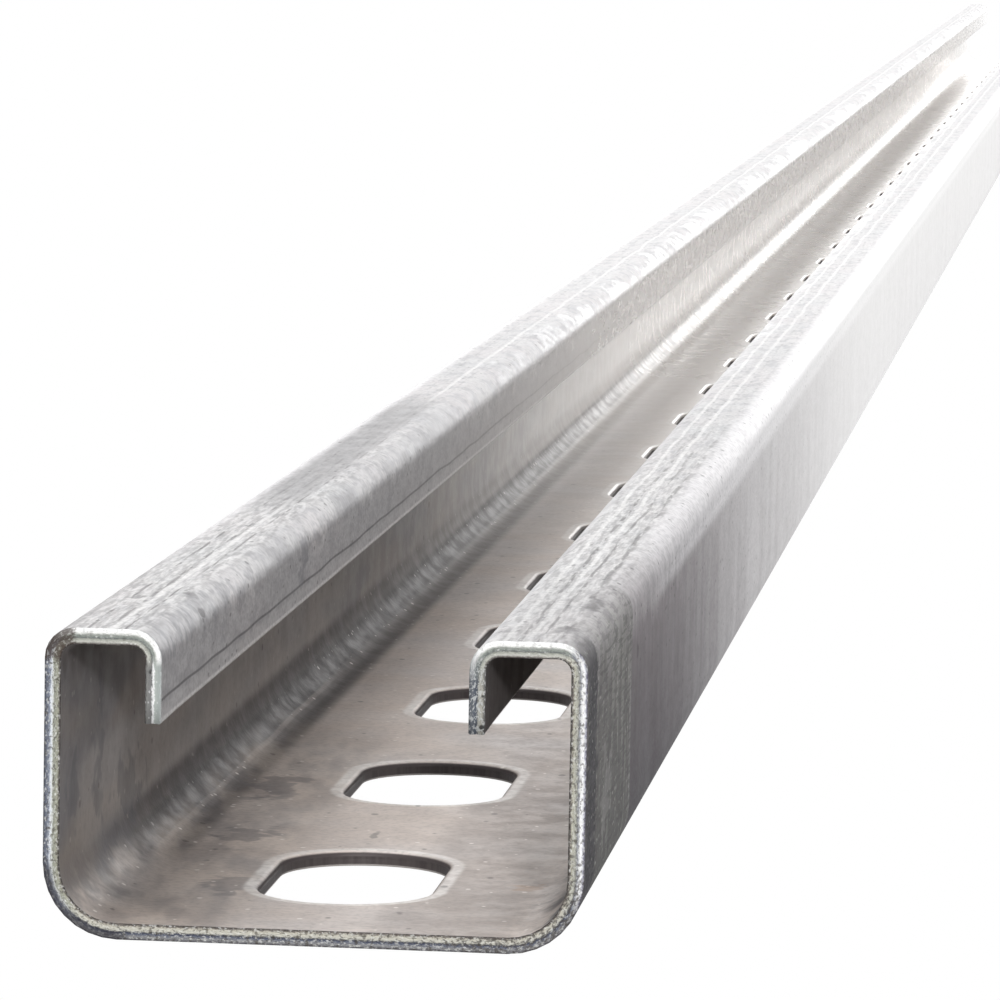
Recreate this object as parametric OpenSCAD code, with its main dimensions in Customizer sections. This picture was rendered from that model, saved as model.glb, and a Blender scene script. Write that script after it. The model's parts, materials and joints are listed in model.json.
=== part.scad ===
// Perforated strut channel: one steel strip, rolled into a lipped channel and slotted along its base.
// It lies on its base with the open side up. X is across, Y along the bar, Z up.
// The origin is at the middle of the bar, on the underside of the base.

/* [Section] */
// Width over the two side walls
width = 41; // [38:0.5:45]
// Height from the underside of the base to the top of the flanges
height = 23.6; // [20:0.2:42]
// Thickness of the strip
thickness = 1.25; // [1:0.05:1.6]
// Width of each top flange, from the side wall's outer face to the lip's face at the mouth
flange_width = 8.9; // [8:0.1:10]
// Depth of each turned-down lip, from the top of the flange to its cut edge
lip_depth = 7.1; // [6:0.1:8]
// Outside radius of the two bends at the base
base_radius = 5.7; // [3:0.1:7]
// Outside radius of the four bends at the top
top_radius = 2.3; // [2:0.1:3]

/* [Slots] */
// Length of a slot, end to end, along the bar
slot_length = 25; // [18:1:32]
// Width of a slot, and of its round ends
slot_width = 13.5; // [9:0.5:16]
// Distance from the middle of one slot to the middle of the next
slot_pitch = 50; // [40:1:75]

/* [Bar] */
// Length of the bar
length = 2000; // [200:50:3000]

/* [Hidden] */
$fn = 48;

wall_x = width / 2;
lip_x = wall_x - flange_width;
slot_count = floor(length / slot_pitch);
first_slot_y = -(slot_count - 1) * slot_pitch / 2;
cut_clearance = 1;

// A quarter bend of the strip, round the origin, in the quadrant where x and y are positive
module bend(outer_radius) {
    intersection() {
        difference() {
            circle(r = outer_radius);
            circle(r = outer_radius - thickness);
        }
        square(outer_radius);
    }
}

// The right half of the section, laid out along the strip from the middle of the base to the lip's edge
module half_section() {
    // Base, out to the lower bend
    square([wall_x - base_radius, thickness]);
    translate([wall_x - base_radius, base_radius]) mirror([0, 1]) bend(base_radius);

    // Side wall, up to the upper bend
    translate([wall_x - thickness, base_radius])
        square([thickness, height - base_radius - top_radius]);
    translate([wall_x - top_radius, height - top_radius]) bend(top_radius);

    // Top flange, in to the lip's bend
    translate([lip_x + top_radius, height - thickness])
        square([flange_width - 2 * top_radius, thickness]);
    translate([lip_x + top_radius, height - top_radius]) mirror([1, 0]) bend(top_radius);

    // Lip, down to its cut edge
    translate([lip_x, height - lip_depth]) square([thickness, lip_depth - top_radius]);
}

// The whole section, standing in the XY plane with Y up
module section() {
    half_section();
    mirror([1, 0]) half_section();
}

// The outline of one slot, centred, with round ends of half its width
module slot_outline() {
    straight = slot_length - slot_width;
    square([slot_width, straight], center = true);
    for (end = [-1, 1])
        translate([0, end * straight / 2]) circle(d = slot_width);
}

// The row of slots, as the punches that cut them through the base
module slot_row() {
    for (i = [0 : slot_count - 1])
        translate([0, first_slot_y + i * slot_pitch, -cut_clearance])
            linear_extrude(thickness + 2 * cut_clearance) slot_outline();
}

module channel() {
    color([0.74, 0.74, 0.73])
        difference() {
            rotate([90, 0, 0]) linear_extrude(length, center = true) section();
            slot_row();
        }
}

channel();
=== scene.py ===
import json
import math

import bpy
import numpy as np
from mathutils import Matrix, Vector


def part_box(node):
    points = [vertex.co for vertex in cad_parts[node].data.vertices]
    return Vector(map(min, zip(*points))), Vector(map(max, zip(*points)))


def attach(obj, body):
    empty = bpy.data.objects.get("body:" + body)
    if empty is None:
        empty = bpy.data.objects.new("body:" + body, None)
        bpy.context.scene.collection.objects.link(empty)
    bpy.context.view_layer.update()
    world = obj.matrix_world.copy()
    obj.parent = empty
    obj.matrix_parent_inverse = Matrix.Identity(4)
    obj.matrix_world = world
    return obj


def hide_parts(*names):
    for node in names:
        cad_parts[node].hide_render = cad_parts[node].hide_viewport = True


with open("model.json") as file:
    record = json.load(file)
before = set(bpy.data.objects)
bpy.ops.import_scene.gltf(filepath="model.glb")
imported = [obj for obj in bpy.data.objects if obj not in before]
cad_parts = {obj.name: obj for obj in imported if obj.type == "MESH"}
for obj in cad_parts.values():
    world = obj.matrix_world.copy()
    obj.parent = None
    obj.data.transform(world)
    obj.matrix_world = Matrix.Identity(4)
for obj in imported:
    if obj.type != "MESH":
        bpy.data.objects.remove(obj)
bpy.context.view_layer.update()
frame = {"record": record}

# Sizes of the bar in millimetres. Every length below is in millimetres unless it says metres.
LOW, HIGH = (np.array(corner) * 1000 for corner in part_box("channel"))
WIDTH, LENGTH, HEIGHT = HIGH - LOW
THICKNESS = 1.25
FLANGE_WIDTH = 8.9
LIP_DEPTH = 7.1
BASE_RADIUS = 5.7
TOP_RADIUS = 2.3
PAIR = next(m["dims"] for m in frame["record"]["mounts"] if m["name"] == "slots_1_and_2")
SLOT_LENGTH = PAIR["slot_length_mm"]
SLOT_WIDTH = 2 * PAIR["hole_r_mm"]
SLOT_PITCH = PAIR["spacing_y_mm"]
SLOT_COUNT = int(LENGTH // SLOT_PITCH)

# How far the punch drew the base's inner face down round a slot, across and into the strip.
DRAWN_WIDTH = 0.55
DRAWN_DEPTH = 0.45
# Radius of a slot's outer arris, and of both arrises of a slit edge.
SLOT_ARRIS = 0.12
SLIT_ARRIS = 0.25
# A cut edge is sheared flat as deep as SHEARED_TO, given as v, and torn from TORN_FROM to TORN_TO.
SHEARED_TO = 0.12
TORN_FROM = 0.02
TORN_TO = -0.08

# The half strip from the middle of the base to its slit edge: length, and the radius that its
# middle line is rolled to, or 0 where it stays flat.
BASE_BEND = BASE_RADIUS - THICKNESS / 2
TOP_BEND = TOP_RADIUS - THICKNESS / 2
STRETCHES = (
    (WIDTH / 2 - BASE_RADIUS, 0),
    (math.pi / 2 * BASE_BEND, BASE_BEND),
    (HEIGHT - BASE_RADIUS - TOP_RADIUS, 0),
    (math.pi / 2 * TOP_BEND, TOP_BEND),
    (FLANGE_WIDTH - 2 * TOP_RADIUS, 0),
    (math.pi / 2 * TOP_BEND, TOP_BEND),
    (LIP_DEPTH - TOP_RADIUS, 0),
)
STARTS = np.concatenate(([0.0], np.cumsum([length for length, _ in STRETCHES])))
BASE_END, WALL_START, WALL_END, FLANGE_START, FLANGE_END, LIP_START, EDGE = STARTS[1:]

# Points of the flat strip nearer than this to an edge lie on it.
NEAR = 1e-4

# The finishes, in the order of the bar's material slots.
INSIDE, OUTSIDE, PUNCHED, CUT, SLIT = range(5)


# ---------------------------------------------------------------- shape


def roll(s, v):
    """The place of a point of the flat strip once it is rolled, s across the strip from the
    middle of the base and v off its middle surface, positive inside.
    The middle line goes on by s along its heading, and in a bend the heading turns by s over
    the radius. The point stands off by v square to the heading. The left half is a mirror image.
    Gives x, z, the direction of growing s and the direction of growing v, both as (x, z)."""
    side = np.where(s < 0, -1.0, 1.0)
    reach = np.abs(s)
    x = np.zeros_like(reach)
    z = np.zeros_like(reach)
    turn = np.zeros_like(reach)
    px, pz, heading = 0.0, THICKNESS / 2, 0.0
    for start, (length, radius) in zip(STARTS, STRETCHES):
        along = np.clip(np.append(reach, start + length) - start, 0, length)
        if radius:
            angle = heading + along / radius
            xs = px + radius * (np.sin(angle) - math.sin(heading))
            zs = pz - radius * (np.cos(angle) - math.cos(heading))
        else:
            angle = np.full_like(along, heading)
            xs = px + along * math.cos(heading)
            zs = pz + along * math.sin(heading)
        here = reach >= start - 1e-9
        x[here], z[here], turn[here] = xs[:-1][here], zs[:-1][here], angle[:-1][here]
        px, pz, heading = xs[-1], zs[-1], angle[-1]
    onward = np.stack((np.cos(turn), side * np.sin(turn)), -1)
    inward = np.stack((-side * np.sin(turn), np.cos(turn)), -1)
    return side * x + v * inward[:, 0], z + v * inward[:, 1], onward, inward


def slot_ring(corner_steps=22, side_steps=10):
    """Points anticlockwise round one slot, from the middle of its right side: up the straight,
    round the half circle, down the other straight and round again."""
    radius = SLOT_WIDTH / 2
    straight = SLOT_LENGTH / 2 - radius
    up = np.linspace(0, straight, side_steps // 2 + 1)[:-1]
    turn = np.linspace(0, math.pi, corner_steps + 1)[:-1]
    down = np.linspace(straight, 0, side_steps // 2 + 1)[:-1]
    half = np.concatenate((
        np.stack((np.full_like(up, radius), up), -1),
        np.stack((radius * np.cos(turn), straight + radius * np.sin(turn)), -1),
        np.stack((np.full_like(down, -radius), down), -1),
    ))
    return np.concatenate((half, -half))


def cell_ring(half_width, steps):
    """Points anticlockwise round one slot's share of the strip, from the middle of its right
    side, with the same number of steps on each half side."""
    t = np.arange(steps) / steps
    half_length = SLOT_PITCH / 2
    right = np.stack((np.full(steps, half_width), t * half_length), -1)
    top = np.stack(((1 - t) * half_width, np.full(steps, half_length)), -1)
    left_top = np.stack((-t * half_width, np.full(steps, half_length)), -1)
    left = np.stack((np.full(steps, -half_width), (1 - t) * half_length), -1)
    half = np.concatenate((right, top, left_top, left))
    return np.concatenate((half, -half))


def slot_row(half_width, steps):
    """The strip's middle with its slots, as points (s, y) and triangles. Every second point of a
    slot's ring meets one point of its cell's ring."""
    outer = cell_ring(half_width, steps)
    inner = slot_ring()
    n = len(outer)
    if len(inner) != 2 * n:
        raise ValueError("a slot needs twice the points of its cell")
    j = np.arange(n)
    ahead = (j + 1) % n
    o, p, q = n + 2 * j, n + 2 * j + 1, n + (2 * j + 2) % (2 * n)
    cell_faces = np.concatenate((
        np.stack((j, ahead, p), -1), np.stack((j, p, o), -1), np.stack((ahead, q, p), -1),
    ))
    cell = np.concatenate((outer, inner))
    middles = SLOT_PITCH * (np.arange(SLOT_COUNT) + 0.5) + (LENGTH - SLOT_COUNT * SLOT_PITCH) / 2
    points = (cell[None] + np.stack((np.zeros(SLOT_COUNT), middles), -1)[:, None]).reshape(-1, 2)
    faces = cell_faces[None] + len(cell) * np.arange(SLOT_COUNT)[:, None, None]
    return points, faces.reshape(-1, 3)


def flat_blank(half_width=11.0, steps=4):
    """The strip before it is rolled, as points (s, y) with y from the near cut, and faces of
    three or four corners: the row of slots, half_width wide on each side of the middle, and
    plain rows of four-cornered faces on both sides of it."""
    row, triangles = slot_row(half_width, steps)
    stations = (half_width, BASE_END, WALL_START, WALL_END, FLANGE_START, FLANGE_END, LIP_START, EDGE)
    face_counts = (2, 8, 5, 6, 3, 6, 3)
    across = np.concatenate([
        np.linspace(a, b, c, endpoint=False) for a, b, c in zip(stations, stations[1:], face_counts)
    ] + [[EDGE]])
    along = np.linspace(0, LENGTH, 2 * steps * SLOT_COUNT + 1)
    points, quads, count = [row], [], len(row)
    for side in (across, -across[::-1]):
        s, y = np.meshgrid(side, along, indexing="ij")
        k = count + np.arange(s.size).reshape(s.shape)
        quads.append(np.stack((k[:-1, :-1], k[1:, :-1], k[1:, 1:], k[:-1, 1:]), -1).reshape(-1, 4))
        points.append(np.stack((s.ravel(), y.ravel()), -1))
        count += s.size
    points = np.concatenate(points)
    quads = np.concatenate(quads)
    _, first, same = np.unique(np.round(points, 5), axis=0, return_index=True, return_inverse=True)
    same = same.reshape(-1)
    return points[first], same[triangles], same[quads]


def open_edges(triangles, quads, count):
    """The edges that only one face has, as (from, to) with the strip on their left."""
    pairs = np.concatenate([
        np.stack((f, np.roll(f, -1, axis=1)), -1).reshape(-1, 2) for f in (triangles, quads)
    ])
    forward = pairs[:, 0] * count + pairs[:, 1]
    backward = pairs[:, 1] * count + pairs[:, 0]
    return pairs[~np.isin(forward, backward)]


def rim_ways(s, y):
    """Which points of the cut edges are in a slot, on a sawn end and on a slit edge, and the way
    from each into the metal: square to the bar's own edges, and away from a slot's middle line."""
    at_slit = np.abs(np.abs(s) - EDGE) < NEAR
    at_cut = (y < NEAR) | (y > LENGTH - NEAR)
    in_slot = ~(at_slit | at_cut)
    middle = (np.floor(y / SLOT_PITCH) + 0.5) * SLOT_PITCH
    straight = (SLOT_LENGTH - SLOT_WIDTH) / 2
    off = np.stack((s, y - np.clip(y, middle - straight, middle + straight)), -1)
    outwards = off / np.maximum(np.linalg.norm(off, axis=1), 1e-9)[:, None]
    square = np.stack((np.where(at_slit, -np.sign(s), 0), np.where(at_cut, np.sign(LENGTH / 2 - y), 0)), -1)
    return in_slot, at_cut, at_slit, np.where(in_slot[:, None], outwards, square)


def edge_sizes(s, y, in_slot, at_cut):
    """The width and depth of a cut edge's inner ellipse, the radius of its outer arris and the
    step of its tear. The punch and the slitter leave even ones, and the saw's wander along the
    cut by a sum of two sines."""
    wander = 0.5 + 0.25 * np.sin(s * 2.3 + 0.7) + 0.25 * np.sin(s * 5.9 + y * 1.7)
    inner_width = np.select((in_slot, at_cut), (DRAWN_WIDTH, 0.08 + 0.08 * wander), SLIT_ARRIS)
    inner_depth = np.select((in_slot, at_cut), (DRAWN_DEPTH, 0.08 + 0.10 * wander), SLIT_ARRIS)
    outer_round = np.select((in_slot, at_cut), (SLOT_ARRIS, 0.10 + 0.10 * wander), SLIT_ARRIS)
    step = np.select((in_slot, at_cut), (0.05, 0.03 + 0.04 * wander), 0.015)
    return inner_width, inner_depth, outer_round, step


def edge_profile(inner_width, inner_depth, outer_round, step, inner_rows=7, outer_rows=4):
    """How a cut edge runs from the strip's inner face to its outer one, for each point of the
    edge: a quarter ellipse, a flat sheared band, a step back, a torn band that comes out again
    and a quarter circle. Gives how far it lies back from the edge, its v, and its turn from
    facing inwards (a quarter turn) over facing out of the edge (0) to facing outwards, row by
    row, and how many bands the ellipse takes."""
    half = THICKNESS / 2
    rows = []
    for t in np.linspace(math.pi / 2, 0, inner_rows):
        rows.append((inner_width * (1 - math.cos(t)), half - inner_depth * (1 - math.sin(t)),
                     np.arctan2(inner_width * math.sin(t), inner_depth * math.cos(t))))
    bands = len(rows) - 1
    # In radians, the tear is turned outwards at its step and a little inwards below it.
    even = np.zeros_like(step)
    rows.append((even, even + SHEARED_TO, even))
    rows.append((step, even + TORN_FROM, even - 0.15))
    rows.append((0.55 * step, even + TORN_TO, even + 0.05))
    for t in np.linspace(0, math.pi / 2, outer_rows):
        rows.append((outer_round * (1 - math.cos(t)), outer_round * (1 - math.sin(t)) - half, even - t))
    return [np.stack(column) for column in zip(*rows)] + [bands]


def shell_normals(turn, edge_way, onward, inward):
    """Normals that stand straight off the two faces and turn with the profile round the edges:
    the sine of the turn times the strip's inward direction, and its cosine times the way out of
    the edge, which is given on the strip."""
    face_part, edge_part = np.sin(turn), np.cos(turn)
    return np.stack((
        face_part * inward[:, 0] + edge_part * edge_way[:, 0] * onward[:, 0],
        edge_part * edge_way[:, 1],
        face_part * inward[:, 1] + edge_part * edge_way[:, 0] * onward[:, 1],
    ), -1)


def build_strip():
    """The whole bar as one closed shell: the flat blank twice, half the thickness above and
    below its middle surface, joined round every cut edge by that edge's profile, then rolled."""
    flat, triangles, quads = flat_blank()
    count = len(flat)
    half = THICKNESS / 2
    edges = open_edges(triangles, quads, count)
    rim = np.unique(edges)
    s, y = flat[rim].T
    in_slot, at_cut, at_slit, into = rim_ways(s, y)
    back, depth, turn, drawn_bands = edge_profile(*edge_sizes(s, y, in_slot, at_cut))
    rows = len(back)

    # The points: the upper blank, the lower blank, and the profiles' rows between their rims.
    ring_s = s[None] + into[None, :, 0] * back
    ring_y = y[None] + into[None, :, 1] * back
    upper, lower = flat.copy(), flat.copy()
    upper[rim] = np.stack((ring_s[0], ring_y[0]), -1)
    lower[rim] = np.stack((ring_s[-1], ring_y[-1]), -1)
    between = np.stack((ring_s[1:-1], ring_y[1:-1]), -1).reshape(-1, 2)
    spread = np.concatenate((upper, lower, between))
    v = np.concatenate((np.full(count, half), np.full(count, -half), depth[1:-1].ravel()))
    x, z, onward, inward = roll(spread[:, 0], v)
    places = np.stack((x, LOW[1] + spread[:, 1], z + LOW[2]), -1) / 1000

    facing = np.concatenate((np.full(count, math.pi / 2), np.full(count, -math.pi / 2), turn[1:-1].ravel()))
    edge_way = np.zeros((len(spread), 2))
    edge_way[2 * count:] = np.tile(-into / np.linalg.norm(into, axis=1)[:, None], (rows - 2, 1))
    normals = shell_normals(facing, edge_way, onward, inward)

    # The faces: both blanks, and bands from row to row of the profiles.
    rim_place = np.full(count, -1)
    rim_place[rim] = np.arange(len(rim))
    ring = np.empty((rows, len(rim)), int)
    ring[0], ring[-1] = rim, rim + count
    ring[1:-1] = 2 * count + np.arange((rows - 2) * len(rim)).reshape(rows - 2, -1)
    a, b = rim_place[edges.T]
    bands = np.stack((ring[:-1][:, a], ring[1:][:, a], ring[1:][:, b], ring[:-1][:, b]), -1).reshape(-1, 4)
    all_triangles = np.concatenate((triangles, triangles[:, ::-1] + count))
    all_quads = np.concatenate((quads, quads[:, ::-1] + count, bands))

    # The finish of each face. The drawn-down rim of a slot is part of the inner face.
    kind = np.select((in_slot[a] & in_slot[b], at_slit[a] & at_slit[b]), (PUNCHED, SLIT), CUT)
    edge_finish = np.tile(kind, (rows - 1, 1))
    edge_finish[:drawn_bands][:, kind == PUNCHED] = INSIDE
    finish = np.concatenate([np.full(len(f), k) for f, k in (
        (triangles, INSIDE), (triangles, OUTSIDE), (quads, INSIDE), (quads, OUTSIDE),
    )] + [edge_finish.ravel()])
    strip = np.stack((spread[:, 0], spread[:, 1], v), -1)
    return places, all_triangles, all_quads, finish, normals, strip


def make_mesh(name, places, triangles, quads, finish, normals, strip, materials):
    """Puts the arrays into one mesh object at the origin. The attribute "strip" keeps each
    point's place on the unrolled strip: s, y from the near cut, and v."""
    mesh = bpy.data.meshes.new(name)
    mesh.vertices.add(len(places))
    mesh.vertices.foreach_set("co", places.ravel())
    corners = np.concatenate((triangles.ravel(), quads.ravel()))
    mesh.loops.add(len(corners))
    mesh.loops.foreach_set("vertex_index", corners)
    sizes = np.concatenate((np.full(len(triangles), 3), np.full(len(quads), 4)))
    mesh.polygons.add(len(sizes))
    mesh.polygons.foreach_set("loop_start", np.cumsum(sizes) - sizes)
    mesh.polygons.foreach_set("material_index", finish)
    mesh.polygons.foreach_set("use_smooth", np.ones(len(sizes), bool))
    attribute = mesh.attributes.new("strip", "FLOAT_VECTOR", "POINT")
    attribute.data.foreach_set("vector", strip.ravel())
    for material in materials:
        mesh.materials.append(material)
    mesh.update(calc_edges=True)
    mesh.validate()
    mesh.normals_split_custom_set_from_vertices(normals)
    piece = bpy.data.objects.new(name, mesh)
    bpy.context.scene.collection.objects.link(piece)
    return piece


# ---------------------------------------------------------------- node shorthand


class Wire:
    """A socket that gives a number, with arithmetic that lays Math nodes."""

    def __init__(self, tree, socket):
        self.tree = tree
        self.socket = socket

    def math(self, operation, *others):
        made = self.tree.nodes.new("ShaderNodeMath")
        made.operation = operation
        for socket, value in zip(made.inputs, (self, *others)):
            feed(self.tree, socket, value)
        return Wire(self.tree, made.outputs[0])

    def __add__(self, other):
        return self.math("ADD", other)

    def __sub__(self, other):
        return self.math("SUBTRACT", other)

    def __rsub__(self, other):
        return (self * -1) + other

    def __mul__(self, other):
        return self.math("MULTIPLY", other)

    def __truediv__(self, other):
        return self.math("DIVIDE", other)

    def size(self):
        return self.math("ABSOLUTE")

    def step(self, low, high):
        """0 up to low and 1 from high on, smooth between them. low may be above high, and then
        it is 1 up to high and 0 from low on."""
        made = self.tree.nodes.new("ShaderNodeMapRange")
        made.interpolation_type = "SMOOTHSTEP"
        turned = low > high
        feed(self.tree, made.inputs["Value"], self)
        made.inputs["From Min"].default_value = min(low, high)
        made.inputs["From Max"].default_value = max(low, high)
        made.inputs["To Min"].default_value = 1.0 if turned else 0.0
        made.inputs["To Max"].default_value = 0.0 if turned else 1.0
        return Wire(self.tree, made.outputs["Result"])

    def between(self, low, high, soft):
        """1 from low to high, falling to 0 within soft of either."""
        return self.step(low - soft, low) * self.step(high + soft, high)


def feed(tree, socket, value):
    """Links a Wire or a socket, or sets a plain value."""
    if isinstance(value, Wire):
        value = value.socket
    if isinstance(value, bpy.types.NodeSocket):
        tree.links.new(value, socket)
    else:
        socket.default_value = value


def lay(tree, kind, settings=None, **inputs):
    """A new node with its settings and its inputs by name."""
    made = tree.nodes.new(kind)
    for key, value in (settings or {}).items():
        setattr(made, key, value)
    for key, value in inputs.items():
        feed(tree, made.inputs[key], value)
    return made


def vector(tree, x, y):
    """Two numbers as a place on a plane."""
    return lay(tree, "ShaderNodeCombineXYZ", X=x, Y=y).outputs["Vector"]


def vector_math(tree, operation, *values):
    """A node that works on vectors, fed in the order of its inputs."""
    made = lay(tree, "ShaderNodeVectorMath", {"operation": operation})
    for socket, value in zip(made.inputs, values):
        feed(tree, socket, value)
    return made


def noise(tree, where, scale, detail=2.0):
    """Noise over a plane: where is a vector of which x and y count."""
    made = lay(tree, "ShaderNodeTexNoise", {"noise_dimensions": "2D"}, Vector=where, Scale=scale,
               Detail=detail, Roughness=0.6)
    return Wire(tree, made.outputs["Fac"])


def three_noises(tree, where, scale, detail=2.0, roughness=0.6):
    """Three unlike noises over a plane at the cost of one node."""
    made = lay(tree, "ShaderNodeTexNoise", {"noise_dimensions": "2D"}, Vector=where, Scale=scale,
               Detail=detail, Roughness=roughness)
    parts = lay(tree, "ShaderNodeSeparateColor", Color=made.outputs["Color"])
    return [Wire(tree, out) for out in parts.outputs]


def line_noise(tree, along):
    """Noise along a line: along is a number."""
    made = lay(tree, "ShaderNodeTexNoise", {"noise_dimensions": "1D"}, W=along, Scale=1.0,
               Detail=1.0, Roughness=0.6)
    return Wire(tree, made.outputs["Fac"])


def blend(tree, amount, low, high):
    """The colour low where amount is 0 and high where it is 1."""
    made = tree.nodes.new("ShaderNodeMix")
    made.data_type = "RGBA"
    factor, first, second = (s for s in made.inputs if s.enabled)
    feed(tree, factor, amount)
    feed(tree, first, low)
    feed(tree, second, high)
    return next(s for s in made.outputs if s.enabled)


def tone(colour):
    """A screen colour out of 255 as the linear colour that a shader takes."""
    c = np.array(colour) / 255
    linear = np.where(c <= 0.04045, c / 12.92, ((c + 0.055) / 1.055) ** 2.4)
    return (*linear.tolist(), 1.0)


def ramp(tree, value, stops):
    """A colour that goes through the stops, (value, screen colour) each, as the value grows."""
    low, high = stops[0][0], stops[-1][0]
    made = lay(tree, "ShaderNodeValToRGB", Fac=(value - low) * (1 / (high - low)))
    points = made.color_ramp.elements
    for at, _ in stops[1:-1]:
        points.new((at - low) / (high - low))
    for point, (_, colour) in zip(points, stops):
        point.color = tone(colour)
    return made.outputs["Color"]


def effect(name, takes, gives, build):
    """A shader node group. takes is {input: its default number, or None for a vector}, gives is
    the name of its one output, and build(tree, inputs) lays the nodes and returns that number."""
    tree = bpy.data.node_groups.new(name, "ShaderNodeTree")
    for label, default in takes.items():
        kind = "NodeSocketVector" if default is None else "NodeSocketFloat"
        socket = tree.interface.new_socket(label, in_out="INPUT", socket_type=kind)
        if default is not None:
            socket.default_value = default
    tree.interface.new_socket(gives, in_out="OUTPUT", socket_type="NodeSocketFloat")
    source = tree.nodes.new("NodeGroupInput")
    drain = tree.nodes.new("NodeGroupOutput")
    inputs = {
        label: source.outputs[label] if default is None else Wire(tree, source.outputs[label])
        for label, default in takes.items()
    }
    feed(tree, drain.inputs[gives], build(tree, inputs))
    return tree


def use(tree, group, **inputs):
    """Places a group and gives its number."""
    return Wire(tree, lay(tree, "ShaderNodeGroup", {"node_tree": group}, **inputs).outputs[0])


# ---------------------------------------------------------------- effects


def build_streaks(tree, given):
    """Soft noise from 0 to 1, stretched by how fast the two places grow over the strip."""
    return noise(tree, vector(tree, given["Across"], given["Along"]), 1.0).step(0.30, 0.70)


def build_specks(tree, given):
    """Round specks, one in each Voronoi cell whose random pick is under the share. A speck's
    radius goes from 0.4 to 1 of the size as its pick goes from 0 to the share."""
    where = vector(tree, given["Across"], given["Along"])
    made = lay(tree, "ShaderNodeTexVoronoi", {"voronoi_dimensions": "2D"}, Vector=where, Scale=1.0)
    near = Wire(tree, made.outputs["Distance"])
    pick = Wire(tree, lay(tree, "ShaderNodeSeparateColor", Color=made.outputs["Color"]).outputs["Red"])
    chosen = (given["Share"] - pick).math("GREATER_THAN", 0.0)
    small = (given["Size"] * (pick / given["Share"] * 0.6 + 0.4) - near) / given["Size"]
    return small.step(0.0, 0.5) * chosen


def build_stain(tree, given):
    """A soft torn spot: the place's distance from the middle, in half sizes, plus the tear."""
    off = vector_math(tree, "SUBTRACT", given["Place"], given["Middle"])
    share = vector_math(tree, "DIVIDE", off.outputs["Vector"], given["Half"])
    reach = vector_math(tree, "LENGTH", share.outputs["Vector"])
    return (Wire(tree, reach.outputs["Value"]) + given["Torn"]).step(1.0, 0.45)


def build_slot_reach(tree, given):
    """How far a place lies outside the nearest slot's edge: its distance from the middle line
    between the slot's two round ends, less half the slot's width."""
    beat = (given["Y"] / SLOT_PITCH).math("FRACT") * SLOT_PITCH
    along = ((beat - SLOT_PITCH / 2).size() - (SLOT_LENGTH - SLOT_WIDTH) / 2).math("MAXIMUM", 0.0)
    return (given["S"] * given["S"] + along * along).math("SQRT") - SLOT_WIDTH / 2


STREAKS = effect("streaks", {"Across": 0.0, "Along": 0.0}, "Amount", build_streaks)
SPECKS = effect("specks", {"Across": 0.0, "Along": 0.0, "Size": 0.2, "Share": 0.3}, "Mask", build_specks)
STAIN = effect("stain", {"Place": None, "Middle": None, "Half": None, "Torn": 0.0}, "Mask", build_stain)
SLOT_REACH = effect("slot_reach", {"S": 0.0, "Y": 0.0}, "Reach", build_slot_reach)


# ---------------------------------------------------------------- finishes
#
# A place on the strip is (s, y) in millimetres: s from the middle of the base, below 0 on the
# left, and y from the near cut. The base is flat up to s 14.8, a wall lies from 22.8 to 38.4, a
# flange from 41.0 to 45.3 and a lip from 47.9 to 52.7. Colours are screen colours out of 255.

# Where along the bar the zinc turns glossy and is painted pale inside and outside, painted light that
# whitens the far bar, and where its clear coat grows.
INSIDE_FADE = (160.0, 600.0)
OUTSIDE_FADE = (110.0, 460.0)
COAT_FADE = (100.0, 430.0)

# The greener band at the near cut ends here.
BAND_END = 37.6

# Colours up the outer wall from the base's edge to the flange, by how far along the strip a place
# lies from the middle of the base. Both darken towards the foot as painted shade, and the second one
# jumps to a painted highlight over the upper bend.
SHADED_PLAIN_WALL = (
    (15.0, (130, 122, 126)), (24.0, (155, 148, 150)), (34.0, (183, 177, 178)), (41.0, (214, 210, 211)),
)
DULL_SHADED_WALL = (
    (14.0, (22, 17, 21)), (22.0, (33, 27, 31)), (26.5, (78, 70, 73)), (32.0, (108, 100, 102)),
    (36.0, (138, 130, 132)), (38.0, (202, 196, 198)), (41.5, (209, 205, 207)),
)

# Colours through the strip on a sawn end, from the outer face to the inner one, by v. The bright outer
# bands of the flange and the right wall are partly burnished metal and partly a painted highlight on
# the arris, and their dark inner ends are painted shadow lines.
SAWN_BASE = (
    (-0.625, (62, 62, 68)), (-0.50, (100, 100, 104)), (-0.34, (128, 128, 130)),
    (-0.18, (96, 100, 112)), (-0.06, (50, 54, 72)), (0.02, (104, 104, 104)),
    (0.12, (184, 182, 172)), (0.40, (180, 176, 164)), (0.50, (104, 98, 92)), (0.625, (58, 53, 52)),
)
SAWN_LEFT_WALL = (
    (-0.625, (60, 62, 70)), (-0.46, (86, 90, 102)), (-0.20, (124, 130, 144)),
    (-0.06, (212, 216, 222)), (0.04, (206, 208, 206)), (0.12, (136, 138, 128)),
    (0.42, (152, 152, 138)), (0.52, (96, 92, 86)), (0.625, (52, 48, 48)),
)
SAWN_RIGHT_WALL = (
    (-0.625, (92, 88, 104)), (-0.52, (170, 170, 182)), (-0.40, (232, 232, 234)),
    (-0.24, (226, 226, 226)), (-0.12, (150, 152, 158)), (0.0, (122, 123, 122)),
    (0.12, (160, 160, 150)), (0.36, (172, 170, 156)), (0.46, (104, 98, 94)), (0.625, (40, 37, 37)),
)
SAWN_FLANGE = (
    (-0.625, (238, 238, 238)), (-0.30, (236, 236, 234)), (-0.16, (150, 154, 148)),
    (0.02, (120, 126, 121)), (0.10, (98, 102, 100)), (0.20, (150, 152, 144)),
    (0.40, (184, 184, 176)), (0.50, (110, 106, 102)), (0.625, (58, 54, 54)),
)
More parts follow.
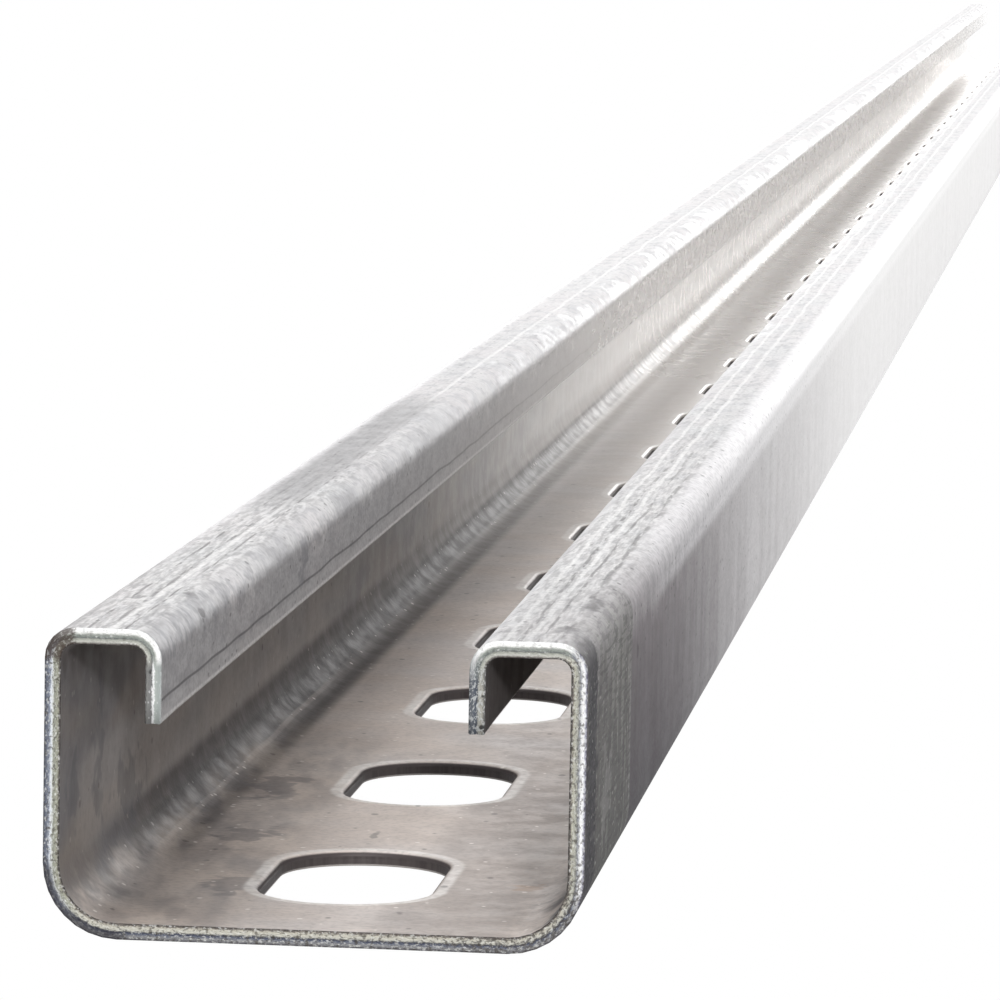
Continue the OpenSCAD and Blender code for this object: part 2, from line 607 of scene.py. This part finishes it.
SAWN_LEFT_LIP = (
    (-0.625, (196, 200, 200)), (-0.50, (152, 158, 156)), (-0.14, (166, 172, 168)),
    (-0.03, (230, 230, 230)), (0.05, (206, 206, 206)), (0.14, (112, 112, 112)),
    (0.44, (124, 124, 122)), (0.625, (72, 70, 70)),
)


def new_material(name):
    """A material with one Principled shader in it. Gives the material, its tree and the shader."""
    material = bpy.data.materials.new(name)
    material.use_nodes = True
    tree = material.node_tree
    tree.nodes.clear()
    shader = tree.nodes.new("ShaderNodeBsdfPrincipled")
    output = tree.nodes.new("ShaderNodeOutputMaterial")
    tree.links.new(shader.outputs[0], output.inputs["Surface"])
    return material, tree, shader


class Finish:
    """A material on the strip. s, y and v are the point's place on the unrolled strip, reach is
    how far it lies from the middle of the base, and place is the plane of s and y. Clouds lie on
    flat, which may be stretched, and torn makes the edges of stains ragged. colour starts as the
    bare metal's, and coats are laid on it one by one, each where its mask is above 0."""

    def __init__(self, name):
        self.material, self.tree, self.shader = new_material(name)
        made = lay(self.tree, "ShaderNodeAttribute",
                   {"attribute_name": "strip", "attribute_type": "GEOMETRY"})
        parts = lay(self.tree, "ShaderNodeSeparateXYZ", Vector=made.outputs["Vector"])
        self.s, self.y, self.v = (Wire(self.tree, out) for out in parts.outputs)
        self.reach = self.s.size()
        self.place = vector(self.tree, self.s, self.y)
        self.flat = self.place
        self.torn = 0.0
        self.drifting = None
        self.colour = None

    def cover(self, mask, colour):
        """A coat of a linear colour, which may come from nodes."""
        self.colour = blend(self.tree, mask, self.colour, colour)

    def coat(self, mask, colour):
        """A coat of one screen colour."""
        self.cover(mask, tone(colour))

    def two_tones(self, mask, pick, low, high):
        """A coat of two screen colours, the high one where pick is 1."""
        self.cover(mask, blend(self.tree, pick, tone(low), tone(high)))

    def bands(self, mask, value, stops):
        """A coat of the colours that the stops give for the value."""
        self.cover(mask, ramp(self.tree, value, stops))

    def spots(self, share, colour, places):
        """Stains of one screen colour, each (s, y, half width, half length)."""
        for place in places:
            self.coat(self.stain(*place) * share, colour)

    def clouds(self, scale, detail=2.0, roughness=0.6):
        """Three unlike fields of soft clouds, 0 to 1."""
        made = three_noises(self.tree, self.flat, scale, detail, roughness)
        return [field.step(0.32, 0.68) for field in made]

    def streaks(self, across, along):
        return use(self.tree, STREAKS, Across=across, Along=along)

    def specks(self, across, along, size, share):
        return use(self.tree, SPECKS, Across=across, Along=along, Size=size, Share=share)

    def stain(self, s, y, half_s, half_y):
        return use(self.tree, STAIN, Place=self.place, Middle=(s, y, 0.0), Half=(half_s, half_y, 1.0),
                   Torn=self.torn)

    def line(self, at, width):
        """A line along the bar at an s that drifts by up to 0.3 either way."""
        if self.drifting is None:
            drift = line_noise(self.tree, self.y * 0.05 + self.s.math("SIGN") * 9.0) - 0.5
            self.drifting = self.s + drift * 0.6
        return (self.drifting - at).size().step(width, width * 0.3)

    def brighten_with_distance(self, share):
        """The zinc keeps its gloss away from the near cut: a thin coat that grows along the bar."""
        feed(self.tree, self.shader.inputs["Coat Weight"], self.y.step(*COAT_FADE) * share)
        self.shader.inputs["Coat Roughness"].default_value = 0.25

    def finished(self, metallic, roughness, relief, depth):
        """The material. relief is a height of 0 to 1 and depth its size in millimetres."""
        made = lay(self.tree, "ShaderNodeBump", Height=relief, Strength=1.0, Distance=depth / 1000)
        feed(self.tree, self.shader.inputs["Base Color"], self.colour)
        feed(self.tree, self.shader.inputs["Metallic"], metallic)
        feed(self.tree, self.shader.inputs["Roughness"], roughness)
        feed(self.tree, self.shader.inputs["Normal"], made.outputs["Normal"])
        self.shader.inputs["Specular IOR Level"].default_value = 0.2
        self.shader.distribution = "GGX"
        return self.material


def shade_inner_walls(skin, wall, torn):
    """Brownish and bluish patches on the walls, with painted shade under the flanges and painted light on
    the left wall's foot near the cut.
    """
    s, y = skin.s, skin.y
    shade, tan, _ = three_noises(skin.tree, vector(skin.tree, s, y * 0.2), 0.17, 1.0)
    skin.coat(wall, (139, 132, 130))
    skin.two_tones(wall * 0.5, shade.step(0.36, 0.62), (144, 138, 134), (113, 117, 124))
    skin.coat(wall * tan.step(0.48, 0.66) * (s.step(-10.0, 10.0) * 0.3 + 0.25), (165, 155, 143))
    # Painted shade under the flanges: the walls darken towards them.
    skin.coat((skin.reach + torn * 2.0).step(36.0, 40.5), (104, 99, 99))
    # Painted light: the left wall's foot is paler near the cut.
    foot = s.between(-28.5, -23.0, 2.0) * y.step(4.0, 14.0) * y.step(200.0, 120.0)
    skin.coat(foot * 0.45, (188, 182, 178))


def shade_and_press_left_bend(skin, steep):
    """Painted shade over the lower left bend, which lies under the flange, deepest on its steep part where
    it dims the reflection, with a light and a dark line pressed along it."""
    s, y = skin.s, skin.y
    low_bend = s.between(-21.5, -15.6, 1.5) * y.step(14.0, 46.0) * y.step(700.0, 300.0)
    # Painted shade on the lower left bend, deeper on its steep part.
    skin.coat(low_bend * 0.88, (86, 82, 82))
    skin.coat(low_bend * steep * 0.7, (50, 47, 47))
    skin.coat(skin.line(-17.4, 0.42) * y.step(20.0, 34.0) * y.step(150.0, 110.0) * 0.6, (154, 146, 141))
    skin.coat(skin.line(-16.1, 0.6) * y.step(26.0, 42.0) * y.step(190.0, 140.0) * 0.5, (80, 76, 76))


def smear_inside(skin):
    """Near the cut: smears that slant off the left bend, stains on the floor and the left wall,
    and a greyer right half of the floor."""
    s, y = skin.s, skin.y
    slant = skin.streaks(s * 0.22 + y * 0.06, y * 0.055 - s * 0.12)
    smeared = s.between(-17.0, -8.0, 3.0) * y.step(115.0, 85.0)
    skin.two_tones(smeared * 0.42, slant, (218, 204, 192), (128, 122, 121))
    skin.spots(0.5, (118, 116, 120), (
        (-13.0, 71.0, 2.4, 8.0), (-11.6, 43.0, 2.6, 5.5), (-9.0, 19.0, 2.6, 4.5),
    ))
    skin.coat(s.between(6.0, 13.0, 3.0) * y.step(120.0, 70.0) * 0.45, (142, 134, 131))
    skin.spots(0.45, (92, 94, 100), (
        (-27.5, 6.0, 3.5, 3.5), (-30.0, 17.0, 8.0, 2.6), (-24.0, 31.0, 3.0, 7.0),
    ))


def speck_inside(skin, wall):
    """Pale and dark specks, a scratch and a dot between the slots and one tan stain."""
    s, y = skin.s, skin.y
    skin.coat(skin.specks(s * 0.45, y * 0.38, 0.13, 0.30) * (0.7 - wall * 0.5), (248, 242, 236))
    skin.coat(skin.specks(s * 0.30, y * 0.20, 0.13, 0.25) * 0.6, (92, 86, 84))
    skin.spots(0.6, (104, 98, 96), ((-1.1, 44.6, 0.35, 2.8), (5.6, 8.9, 0.45, 0.9)))
    skin.spots(0.45, (176, 138, 106), ((14.0, 22.5, 1.4, 2.4),))


def inside_skin():
    """The faces inside the channel: a pale warm floor, darker walls with painted shade under the flanges
    and on the lower left bend, drawn-down rims round the slots in painted shade with a painted highlight
    ringing them, the smears that the rolls and the swarf left, and painted paleness far along the bar."""
    skin = Finish("inside_skin")
    skin.colour = tone((218, 207, 200))
    s, y = skin.s, skin.y
    cloud, warm, _ = skin.clouds(0.06, 1.0, 0.6)
    patch, torn, blot = skin.clouds(0.26, 2.0, 0.7)
    skin.torn = (torn - 0.5) * 1.2
    skin.coat(cloud * 0.5, (194, 189, 188))
    skin.coat(warm * 0.5, (207, 190, 177))
    skin.coat(patch * 0.25, (186, 180, 177))
    brushed = skin.streaks(s * 0.10, y * 1.6)
    skin.coat(brushed * y.step(70.0, 10.0) * 0.22, (172, 166, 164))

    # The floor turns into the walls at a ragged line over the lower bends.
    wall = (skin.reach + torn * 3.0 + cloud * 2.5 - 3.0).step(16.5, 21.0)
    steep = s.between(-19.8, -18.0, 0.9)
    shade_inner_walls(skin, wall, torn)
    shade_and_press_left_bend(skin, steep)
    smear_inside(skin)

    # A painted highlight as a light ring on the floor round each slot, whose drawn-down rim gets painted
    # shade below.
    rim = use(skin.tree, SLOT_REACH, S=s, Y=y)
    skin.coat(rim.between(DRAWN_WIDTH, 1.0, 0.5) * (blot * 0.4 + 0.42), (244, 240, 236))
    speck_inside(skin, wall)
    grain = noise(skin.tree, skin.flat, 1.7, 1.0)
    skin.coat(grain.step(0.42, 0.72) * 0.18, (112, 107, 106))
    # Painted shade on the slots' drawn-down rims.
    skin.coat(skin.v.step(0.57, 0.40), (78, 72, 72))

    # Far from the near cut the zinc is glossier and painted paler, painted light that whitens the far
    # bar, least on the left bend's steep part.
    away = y.step(*INSIDE_FADE)
    skin.coat(away * (0.92 - steep * 0.62), (246, 240, 235))
    skin.brighten_with_distance(1.0 - steep * 0.85)
    metallic = (wall * -0.12 + 0.20) * (1.0 - away) + away * 0.95
    return skin.finished(metallic, patch * 0.12 + 0.44 - away * 0.2, grain, 0.02)


def dress_lips(skin, lip, blot):
    """Grey lips, combed dark over the bend near the cut, with one roll line and a painted highlight as a
    bright strip along the lower arris at the slit edge."""
    s, y, reach = skin.s, skin.y, skin.reach
    skin.coat(lip * 0.7, (181, 180, 182))
    skin.coat(lip * blot * 0.4, (154, 152, 156))
    comb = skin.streaks(s * 0.35, y * 0.55)
    combed = reach.between(45.8, 48.0, 1.2) * y.step(60.0, 10.0)
    skin.coat(combed * comb.step(0.6, 0.95) * 0.35, (112, 115, 123))
    skin.coat(reach.step(51.2, 51.6) * 0.45, (206, 204, 204))
    skin.coat(skin.line(-50.95, 0.17) * 0.75, (80, 78, 82))
    skin.coat(skin.line(50.95, 0.16) * 0.6, (96, 94, 97))
    # Painted highlight along the lip's lower arris.
    skin.coat(reach.step(52.15, 52.4) * 0.75, (242, 241, 240))


def press_flange_tops(skin, crumbs):
    """Broken dark lines that the rolls pressed into the flange tops, with crumbs and pale lines
    beside them, and two greyer stretches."""
    s, y = skin.s, skin.y
    near = y.step(210.0, 80.0) * 0.8 + 0.2
    flange = skin.reach.between(39.4, 45.6, 0.8) * near
    skin.two_tones(flange * 0.42, crumbs, (238, 237, 236), (120, 116, 116))
    gaps = noise(skin.tree, vector(skin.tree, s * 1.3, y * 0.16), 1.0)
    lines = skin.line(-43.4, 0.24) + skin.line(-42.0, 0.2) + skin.line(-44.8, 0.15)
    lines = lines + skin.line(43.9, 0.26) + skin.line(42.5, 0.2) + skin.line(41.1, 0.34)
    skin.coat(lines * gaps.step(0.42, 0.56) * near * 0.7, (80, 75, 76))
    pale_lines = skin.line(-43.9, 0.30) + skin.line(43.3, 0.30) + skin.line(45.0, 0.26)
    skin.coat(pale_lines * 0.5, (250, 249, 248))
    skin.coat(s.between(-44.0, -39.5, 1.5) * y.between(105.0, 180.0, 30.0) * 0.75, (140, 138, 140))
    skin.coat(s.between(39.5, 45.0, 1.5) * y.step(55.0, 25.0) * 0.25, (140, 137, 138))


def dull_and_shade_near_cut(skin, wall, dull_and_shaded, torn, upright, crumbs):
    """The stretch of the walls next to the near cut that is rougher: painted shade darkens it towards the
    foot, it is dark right behind the cut, and greener and rubbed up to BAND_END. Past it the upper bend
    carries a painted highlight."""
    s, y, reach = skin.s, skin.y, skin.reach
    fine = skin.streaks(s * 0.10, y * 0.45)
    # Painted shade: the wall darkens towards its foot near the cut.
    skin.bands(dull_and_shaded, reach + (upright - 0.5) * 3.0, DULL_SHADED_WALL)
    # Painted highlight along the upper bend past the band.
    skin.coat(reach.between(37.4, 40.0, 1.4) * y.step(40.0, 85.0) * 0.75, (250, 248, 250))
    skin.two_tones(dull_and_shaded * 0.36, upright, (138, 135, 139), (78, 73, 80))
    skin.coat(dull_and_shaded * fine * 0.3, (88, 84, 90))
    band = wall * y.step(BAND_END + 1.0, BAND_END)
    skin.coat(band * 0.5, (106, 107, 100))
    skin.coat(wall * y.between(BAND_END - 1.0, BAND_END, 0.6) * 0.4, (152, 150, 150))
    skin.coat(band * fine.step(0.45, 0.0) * 0.5, (152, 153, 147))
    skin.coat(wall * (y + torn * 2.5).between(2.5, 8.5, 2.5) * 0.9, (38, 36, 44))
    skin.coat(band * skin.specks(s * 1.2, y * 1.1, 0.26, 0.35) * 0.7, (196, 196, 190))
    skin.coat(band * crumbs.step(0.45, 0.9) * 0.5, (76, 74, 76))
    skin.coat(skin.stain(27.5, 17.0, 4.2, 4.5) * 0.4 * wall, (156, 155, 153))


def pit_outside(skin):
    """Dark pits everywhere, and the larger ones and a bluish stain near the cut."""
    skin.coat(skin.specks(skin.s * 0.9, skin.y * 0.35, 0.20, 0.28) * 0.6, (86, 83, 85))
    skin.spots(0.6, (80, 76, 78), (
        (-42.4, 19.5, 0.8, 2.4), (-45.9, 23.8, 0.5, 1.6), (-47.1, 20.8, 0.4, 1.2),
        (41.2, 8.4, 0.8, 3.4), (40.8, 24.0, 0.6, 5.0), (31.4, 20.4, 0.8, 1.6), (34.4, 43.5, 0.8, 1.3),
    ))
    skin.spots(0.55, (112, 112, 122), ((-48.9, 76.0, 1.9, 4.6),))


def outside_skin():
    """The faces outside: blotched pale flange tops with broken dark lines from the rolls, grey lips with
    one roll line and a painted highlight on their lower arris, walls with painted shade that darkens
    them towards the foot, rougher and darker next to the near cut, and painted paleness far along the bar."""
    skin = Finish("outside_skin")
    skin.colour = tone((202, 201, 202))
    s, y, reach = skin.s, skin.y, skin.reach
    skin.flat = vector(skin.tree, s, y * 0.4)
    cloud, warm, _ = skin.clouds(0.10, 1.0, 0.6)
    patch, torn, blot = skin.clouds(0.55, 2.0, 0.7)
    skin.torn = (torn - 0.5) * 0.9
    skin.coat(cloud * 0.5, (184, 186, 189))
    skin.coat(warm * 0.35, (205, 194, 196))
    skin.coat(patch * 0.6, (228, 227, 227))
    skin.coat(blot.step(0.50, 1.0) * 0.55, (160, 160, 165))

    # The flange's pale blotches spill over the bend and stop at a ragged line.
    lip = (reach + (torn - 0.5) * 2.6 + (cloud - 0.5) * 2.0).step(45.6, 48.2)
    wall = reach.step(41.4, 38.0)
    dull_and_shaded = wall * y.step(190.0, 20.0)
    crumbs = skin.streaks(s * 2.4, y * 0.24)
    upright = skin.streaks(s * 0.03, y * 0.09)
    dress_lips(skin, lip, blot)
    # Painted shade: the outer walls darken towards the foot.
    skin.bands(wall * 0.75, reach, SHADED_PLAIN_WALL)
    skin.two_tones(wall * 0.3, upright, (208, 207, 210), (152, 149, 154))
    press_flange_tops(skin, crumbs)
    dull_and_shade_near_cut(skin, wall, dull_and_shaded, torn, upright, crumbs)
    pit_outside(skin)
    grain = noise(skin.tree, vector(skin.tree, s, y * 0.6), 2.2, 1.0)
    skin.coat(grain.step(0.40, 0.70) * 0.25, (116, 115, 118))

    # Far from the near cut the lips and walls are glossier and painted paler: painted light that whitens
    # the far bar.
    away = (reach.step(46.5, 48.5) + wall * 0.5) * y.step(*OUTSIDE_FADE)
    skin.coat(away * 0.9, (244, 241, 239))
    skin.brighten_with_distance((wall + lip) * 0.8 + 0.2)
    roughness = dull_and_shaded * 0.36 + patch * 0.12 + 0.42 - away * 0.2
    return skin.finished(0.20 - dull_and_shaded * 0.18 + away * 0.62, roughness, grain, 0.035)


def punched_edge():
    """The wall of a slot: dark as painted shade, with fine upright scoring and a light burr at its foot."""
    skin = Finish("punched_edge")
    # Painted shade: the slot's wall is dark.
    skin.colour = tone((66, 60, 60))
    skin.coat(skin.streaks(skin.s * 1.6, skin.y * 1.6) * 0.4, (90, 84, 82))
    skin.coat(skin.v.step(-0.42, -0.52) * 0.8, (170, 164, 160))
    return skin.finished(0.15, 0.6, noise(skin.tree, skin.flat, 3.0, 1.0), 0.02)


def mash_bends(skin, torn, blotch, fleck, depth):
    """The upper left bend's end is mashed dark, and the lower bends' ends are dark, the left one
    in its outer half."""
    s = skin.s
    mashed = (s + torn * 1.0 - 0.5).between(-40.7, -38.5, 0.5)
    skin.coat(mashed * (1.0 - blotch.step(0.5, 0.7) * 0.5) * 0.85, (66, 56, 50))
    skin.coat(s.between(-22.0, -15.0, 1.5) * depth.step(0.12, -0.1) * 0.75, (38, 36, 42))
    skin.coat(s.between(12.0, 22.0, 3.0) * fleck.step(0.42, 0.56) * 0.6, (72, 68, 66))


def saw_lips(skin, blotch, depth, glints):
    """The right lip's end is dark and bluish with pale blotches, the left one's is pale outside,
    and both have pits."""
    s, v = skin.s, skin.v
    skin.coat(s.step(46.4, 48.0) * depth.step(0.25, -0.15) * 0.7, (74, 80, 88))
    skin.coat(s.step(47.0, 48.2) * depth.step(-0.05, 0.25) * 0.5, (120, 121, 120))
    skin.coat(s.step(46.4, 48.0) * blotch.step(0.50, 0.60) * 0.6, (190, 192, 192))
    left_lip = s.step(-47.6, -48.6)
    skin.bands(left_lip, depth, SAWN_LEFT_LIP)
    # Painted highlights: glints on the left lip's end.
    skin.coat(left_lip * glints * 0.35, (240, 240, 240))
    pits = skin.specks(s * 1.05, v * 0.9, 0.26, 0.8)
    skin.coat(skin.reach.step(48.2, 49.0) * pits * v.step(0.0, 0.2) * 0.9, (36, 36, 36))


def cut_end():
    """The sawn ends. The inner half is pale and ticked, a dark line runs down the middle, the
    outer half is blue-grey, and the flanges and the right wall have a bright outer arris, partly
    burnished and partly a painted highlight, and a painted shadow line at their inner arris."""
    skin = Finish("cut_end")
    s, v, tree = skin.s, skin.v, skin.tree
    torn, blotch, fleck = three_noises(tree, vector(tree, s, v * 1.8), 2.6, 2.0, 0.7)
    depth = v + (torn - 0.5) * 0.32
    skin.colour = ramp(tree, depth, SAWN_BASE)
    skin.bands(s.between(-38.5, -19.5, 1.6), depth, SAWN_LEFT_WALL)
    skin.bands(s.between(22.5, 38.5, 2.5), depth, SAWN_RIGHT_WALL)
    flange = skin.reach.between(40.4, 48.0, 0.9)
    skin.bands(flange, v + (torn - 0.5) * 0.16, SAWN_FLANGE)

    # What the saw left: blotches, flecks and ticks, weaker on the flanges; and glints, which are painted
    # highlights.
    plain = 1.0 - flange * 0.65
    skin.coat(blotch.step(0.52, 0.66) * plain * 0.5, (204, 204, 200))
    skin.coat(fleck.step(0.54, 0.66) * plain * 0.65, (70, 66, 63))
    ticks = skin.specks(s * 1.6, v * 1.0, 0.30, 0.5)
    skin.coat(ticks * plain * 0.65, (62, 57, 50))
    glints = skin.specks(s * 2.6, v * 4.0, 0.40, 0.22)
    skin.coat(glints * 0.4, (230, 230, 228))
    mash_bends(skin, torn, blotch, fleck, depth)
    saw_lips(skin, blotch, depth, glints)
    score = noise(tree, vector(tree, s * 2.0, v * 9.0), 1.0)
    return skin.finished(0.15, 0.5, score, 0.05)


def slit_edge():
    """The long edges of the lips, slit from the coil: bright and slightly notched."""
    skin = Finish("slit_edge")
    skin.colour = tone((218, 217, 216))
    patch, notch, _ = skin.clouds(0.6)
    skin.coat(patch * 0.6, (170, 168, 168))
    skin.coat(skin.specks(skin.s * 0.8, skin.y * 0.5, 0.25, 0.4) * 0.7, (246, 245, 243))
    skin.brighten_with_distance(1.0)
    return skin.finished(0.35, 0.42, notch, 0.05)


bar = make_mesh("channel_strip", *build_strip(),
                (inside_skin(), outside_skin(), punched_edge(), cut_end(), slit_edge()))
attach(bar, "root")
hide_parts("channel")


# ---------------------------------------------------------------- floor, light and camera


def pale_floor(half_side=200.0, drop=0.0002):
    """A flat square just under the bar, in metres. It is seen and mirrored as pure white, and
    lights the bar as a mid grey floor would."""
    mesh = bpy.data.meshes.new("studio_floor")
    signs = ((-1, -1), (1, -1), (1, 1), (-1, 1))
    corners = [(x * half_side, y * half_side, -drop) for x, y in signs]
    mesh.from_pydata(corners, [], [(0, 1, 2, 3)])
    material, tree, shader = new_material("pale_floor")
    bounced = Wire(tree, lay(tree, "ShaderNodeLightPath").outputs["Is Diffuse Ray"])
    to_bar = blend(tree, bounced, (0.0, 0.0, 0.0, 1.0), (0.30, 0.30, 0.30, 1.0))
    feed(tree, shader.inputs["Base Color"], to_bar)
    feed(tree, shader.inputs["Emission Color"], (1.0, 1.0, 1.0, 1.0))
    feed(tree, shader.inputs["Emission Strength"], 1.0 - bounced)
    shader.inputs["Roughness"].default_value = 0.9
    shader.inputs["Specular IOR Level"].default_value = 0.0
    mesh.materials.append(material)
    floor = bpy.data.objects.new("studio_floor", mesh)
    bpy.context.scene.collection.objects.link(floor)


def soft_light(name, travel, strength, spread):
    """A light from far away. travel is the way that its light goes, and spread is how wide it
    looks, in degrees."""
    lamp = bpy.data.lights.new(name, "SUN")
    lamp.energy = strength
    lamp.angle = math.radians(spread)
    holder = bpy.data.objects.new(name, lamp)
    holder.rotation_euler = Vector(travel).to_track_quat("-Z", "Y").to_euler()
    bpy.context.scene.collection.objects.link(holder)


def room_light(seen, given, beyond):
    """The room's own light: the camera sees it as bright as seen, and surfaces get given, and
    beyond more from the low bright wall past the far end."""
    world = bpy.data.worlds.new("studio")
    world.use_nodes = True
    tree = world.node_tree
    way = lay(tree, "ShaderNodeTexCoord").outputs["Generated"]
    parts = lay(tree, "ShaderNodeSeparateXYZ", Vector=way)
    onward, up = Wire(tree, parts.outputs["Y"]), Wire(tree, parts.outputs["Z"])
    glow = onward.step(0.55, 0.95) * up.step(0.55, 0.15) * beyond + given
    camera_ray = Wire(tree, lay(tree, "ShaderNodeLightPath").outputs["Is Camera Ray"])
    strength = camera_ray * (seen - glow) + glow
    feed(tree, tree.nodes["Background"].inputs["Color"], (1.0, 1.0, 1.0, 1.0))
    feed(tree, tree.nodes["Background"].inputs["Strength"], strength)
    bpy.context.scene.world = world


def place_camera(right, back, up, turns, lens):
    """The camera stands to the right of the near cut's middle, back from it and above the floor,
    in metres. turns are about X, Y and Z in degrees, and lens is its focal length in millimetres."""
    data = bpy.data.cameras.new("camera")
    data.lens = lens
    data.sensor_width = 36.0
    data.clip_start = 0.02
    data.clip_end = 500.0
    camera = bpy.data.objects.new("camera", data)
    camera.location = (right, LOW[1] / 1000 - back, up)
    camera.rotation_euler = [math.radians(angle) for angle in turns]
    bpy.context.scene.collection.objects.link(camera)
    bpy.context.scene.camera = camera


pale_floor()
soft_light("left_light", travel=(0.20, 0.08, -1.0), strength=1.7, spread=40)
soft_light("front_light", travel=(-0.22, 1.0, -0.30), strength=2.6, spread=5)
room_light(seen=1.0, given=0.35, beyond=2.1)
place_camera(right=0.0625, back=0.4515, up=0.0824, turns=(83.936, -1.009, 6.278), lens=221.4)
bpy.context.scene.view_settings.view_transform = "Standard"
